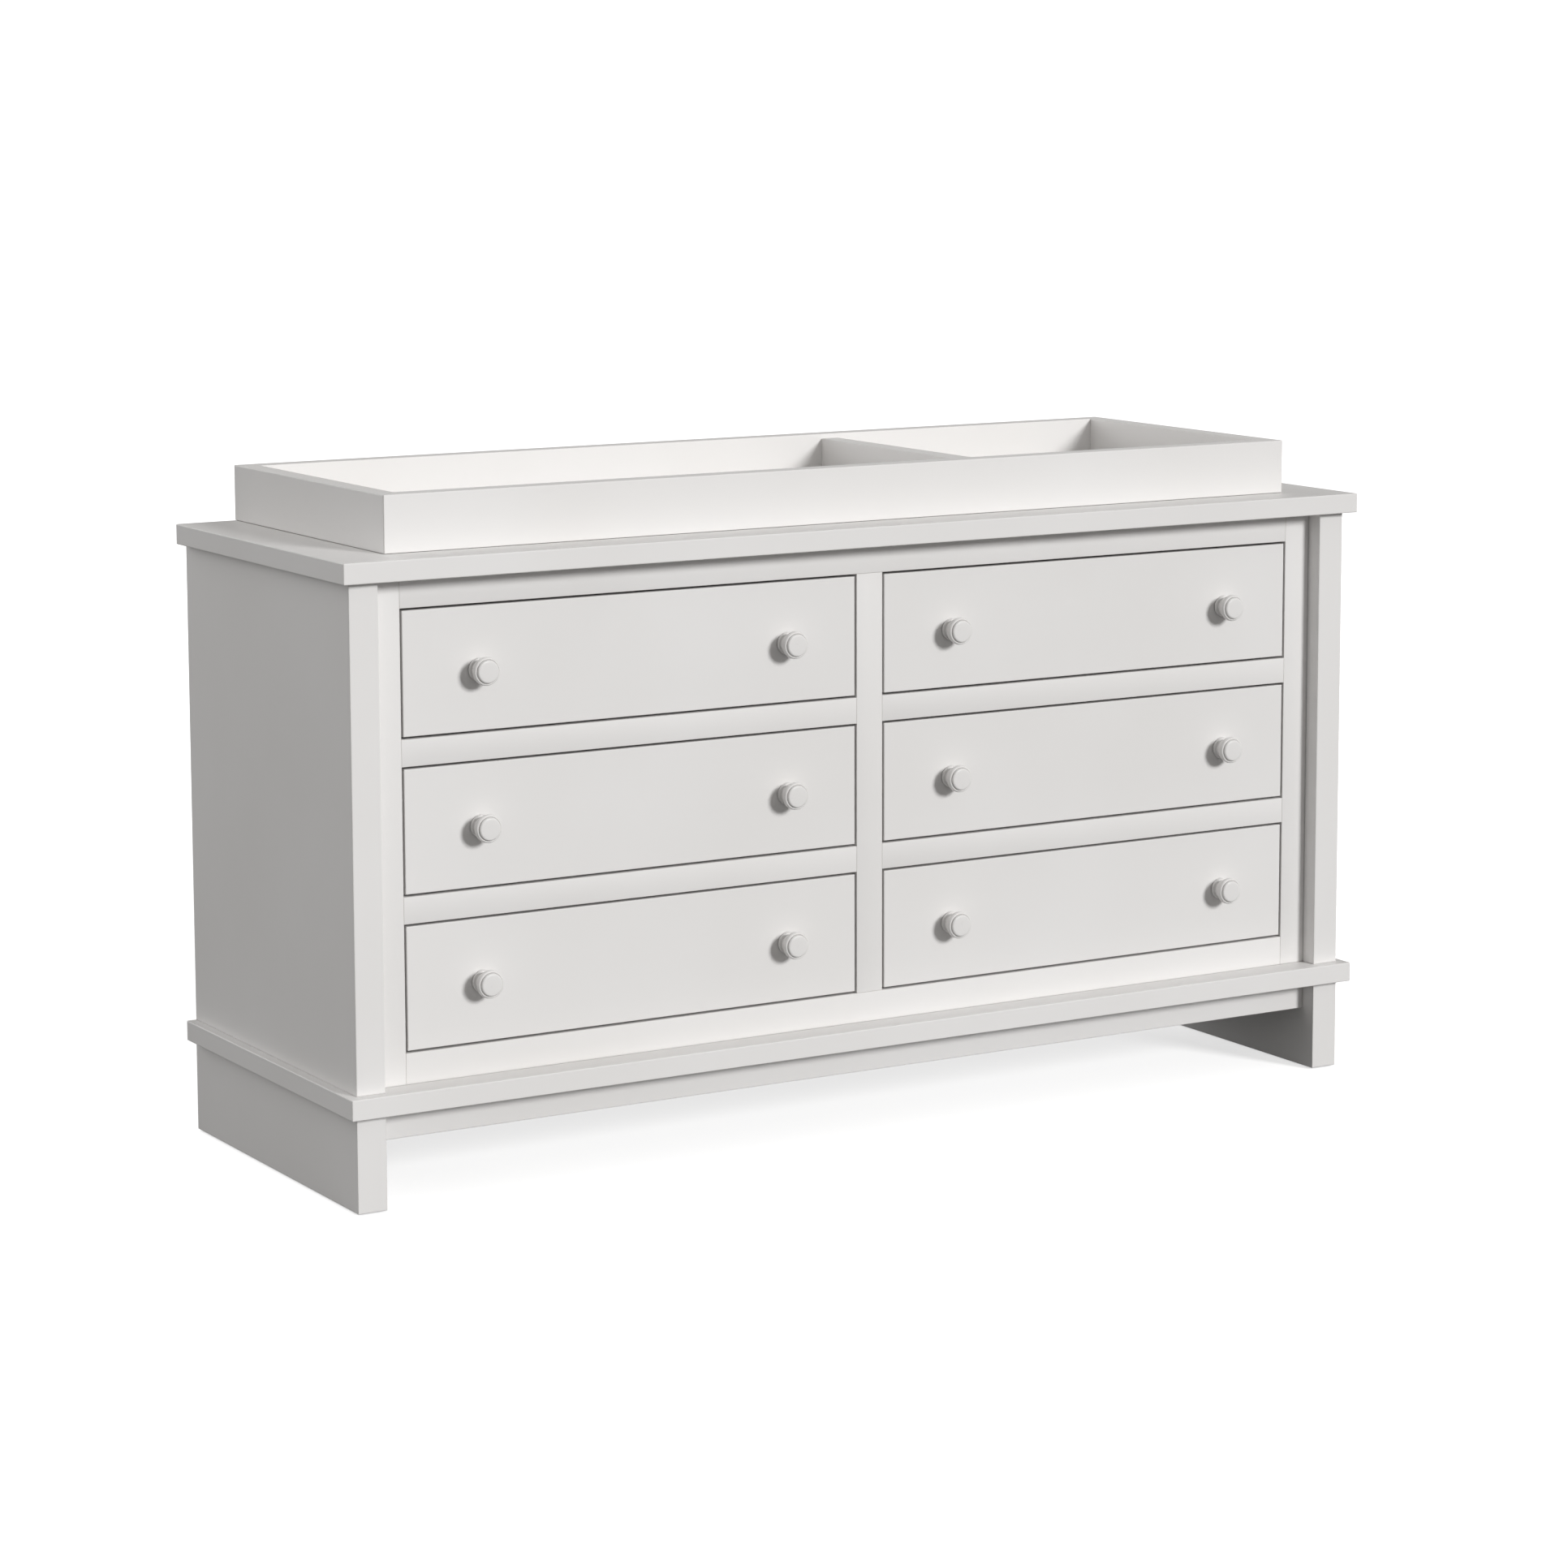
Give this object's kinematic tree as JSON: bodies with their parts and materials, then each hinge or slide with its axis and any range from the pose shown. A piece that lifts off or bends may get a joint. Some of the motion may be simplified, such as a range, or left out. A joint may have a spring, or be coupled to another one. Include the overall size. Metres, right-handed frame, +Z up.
{
  "type": "changing table",
  "caption": "Long low nursery dresser in white paint with flush inset drawers on round turned knobs, and a walled changing tray with a divider that lifts off its top.",
  "frame": {"origin": "on the floor, in the middle of the width and of the whole depth", "axes": "+X along the width to the right as seen from the front, +Y to the back, +Z up"},
  "size_m": [1.567, 0.5288, 0.9013],
  "materials": {
    "painted_wood": "satin white paint on wood",
    "knob_paint": "satin white paint on turned wood",
    "bare_wood": "clear-lacquered pine",
    "thin_panel": "white-faced thin board",
    "zinc_steel": "zinc plated",
    "glide_nylon": "moulded nylon"
  },
  "bodies": {
    "case": {"back_panel": "thin_panel", "back_top_rail": "bare_wood", "base_aprons": "painted_wood", "base_board": "painted_wood", "bottom_rail": "painted_wood", "cabinet_slide_rails": "zinc_steel", "center_partition": "bare_wood", "center_stile": "painted_wood", "drawer_divider_rails": "painted_wood", "floor_glides": "glide_nylon", "left_side_panel": "painted_wood", "leg_panels": "painted_wood", "right_side_panel": "painted_wood", "side_stiles": "painted_wood", "slide_packers": "bare_wood", "top_board": "painted_wood", "top_rail": "painted_wood", "tray_hook_screws": "zinc_steel"},
    "lower_left_drawer": {"lower_left_drawer_front": "painted_wood", "lower_left_drawer_box": "bare_wood", "lower_left_drawer_bottom": "thin_panel", "lower_left_drawer_knobs": "knob_paint", "lower_left_drawer_rails": "zinc_steel"},
    "lower_left_slide": {"lower_left_slide_middles": "zinc_steel"},
    "middle_left_drawer": {"middle_left_drawer_front": "painted_wood", "middle_left_drawer_box": "bare_wood", "middle_left_drawer_bottom": "thin_panel", "middle_left_drawer_knobs": "knob_paint", "middle_left_drawer_rails": "zinc_steel"},
    "middle_left_slide": {"middle_left_slide_middles": "zinc_steel"},
    "upper_left_drawer": {"upper_left_drawer_front": "painted_wood", "upper_left_drawer_box": "bare_wood", "upper_left_drawer_bottom": "thin_panel", "upper_left_drawer_knobs": "knob_paint", "upper_left_drawer_rails": "zinc_steel"},
    "upper_left_slide": {"upper_left_slide_middles": "zinc_steel"},
    "lower_right_drawer": {"lower_right_drawer_front": "painted_wood", "lower_right_drawer_box": "bare_wood", "lower_right_drawer_bottom": "thin_panel", "lower_right_drawer_knobs": "knob_paint", "lower_right_drawer_rails": "zinc_steel"},
    "lower_right_slide": {"lower_right_slide_middles": "zinc_steel"},
    "middle_right_drawer": {"middle_right_drawer_front": "painted_wood", "middle_right_drawer_box": "bare_wood", "middle_right_drawer_bottom": "thin_panel", "middle_right_drawer_knobs": "knob_paint", "middle_right_drawer_rails": "zinc_steel"},
    "middle_right_slide": {"middle_right_slide_middles": "zinc_steel"},
    "upper_right_drawer": {"upper_right_drawer_front": "painted_wood", "upper_right_drawer_box": "bare_wood", "upper_right_drawer_bottom": "thin_panel", "upper_right_drawer_knobs": "knob_paint", "upper_right_drawer_rails": "zinc_steel"},
    "upper_right_slide": {"upper_right_slide_middles": "zinc_steel"},
    "changing_tray": {"tray_front_wall": "painted_wood", "tray_back_wall": "painted_wood", "tray_end_walls": "painted_wood", "tray_divider": "painted_wood", "tray_bottom": "painted_wood", "tray_straps": "zinc_steel"}
  },
  "joints": [
    {"name": "lower_left_drawer_slide", "type": "slide", "parent": "case", "child": "lower_left_drawer", "axis": [0, -1, 0], "range_m": [0, 0.38]},
    {"name": "lower_left_middle_slide", "type": "slide", "parent": "case", "child": "lower_left_slide", "axis": [0, -1, 0], "range_m": [0, 0.19]},
    {"name": "middle_left_drawer_slide", "type": "slide", "parent": "case", "child": "middle_left_drawer", "axis": [0, -1, 0], "range_m": [0, 0.38]},
    {"name": "middle_left_middle_slide", "type": "slide", "parent": "case", "child": "middle_left_slide", "axis": [0, -1, 0], "range_m": [0, 0.19]},
    {"name": "upper_left_drawer_slide", "type": "slide", "parent": "case", "child": "upper_left_drawer", "axis": [0, -1, 0], "range_m": [0, 0.38]},
    {"name": "upper_left_middle_slide", "type": "slide", "parent": "case", "child": "upper_left_slide", "axis": [0, -1, 0], "range_m": [0, 0.19]},
    {"name": "lower_right_drawer_slide", "type": "slide", "parent": "case", "child": "lower_right_drawer", "axis": [0, -1, 0], "range_m": [0, 0.38]},
    {"name": "lower_right_middle_slide", "type": "slide", "parent": "case", "child": "lower_right_slide", "axis": [0, -1, 0], "range_m": [0, 0.19]},
    {"name": "middle_right_drawer_slide", "type": "slide", "parent": "case", "child": "middle_right_drawer", "axis": [0, -1, 0], "range_m": [0, 0.38]},
    {"name": "middle_right_middle_slide", "type": "slide", "parent": "case", "child": "middle_right_slide", "axis": [0, -1, 0], "range_m": [0, 0.19]},
    {"name": "upper_right_drawer_slide", "type": "slide", "parent": "case", "child": "upper_right_drawer", "axis": [0, -1, 0], "range_m": [0, 0.38]},
    {"name": "upper_right_middle_slide", "type": "slide", "parent": "case", "child": "upper_right_slide", "axis": [0, -1, 0], "range_m": [0, 0.19]},
    {"name": "changing_tray_lift", "type": "slide", "parent": "case", "child": "changing_tray", "axis": [0, 0, 1], "range_m": [0, 0.15]}
  ],
  "couplings": [
    {"joint": "lower_left_middle_slide", "follows": "lower_left_drawer_slide", "ratio": 0.5},
    {"joint": "middle_left_middle_slide", "follows": "middle_left_drawer_slide", "ratio": 0.5},
    {"joint": "upper_left_middle_slide", "follows": "upper_left_drawer_slide", "ratio": 0.5},
    {"joint": "lower_right_middle_slide", "follows": "lower_right_drawer_slide", "ratio": 0.5},
    {"joint": "middle_right_middle_slide", "follows": "middle_right_drawer_slide", "ratio": 0.5},
    {"joint": "upper_right_middle_slide", "follows": "upper_right_drawer_slide", "ratio": 0.5}
  ]
}
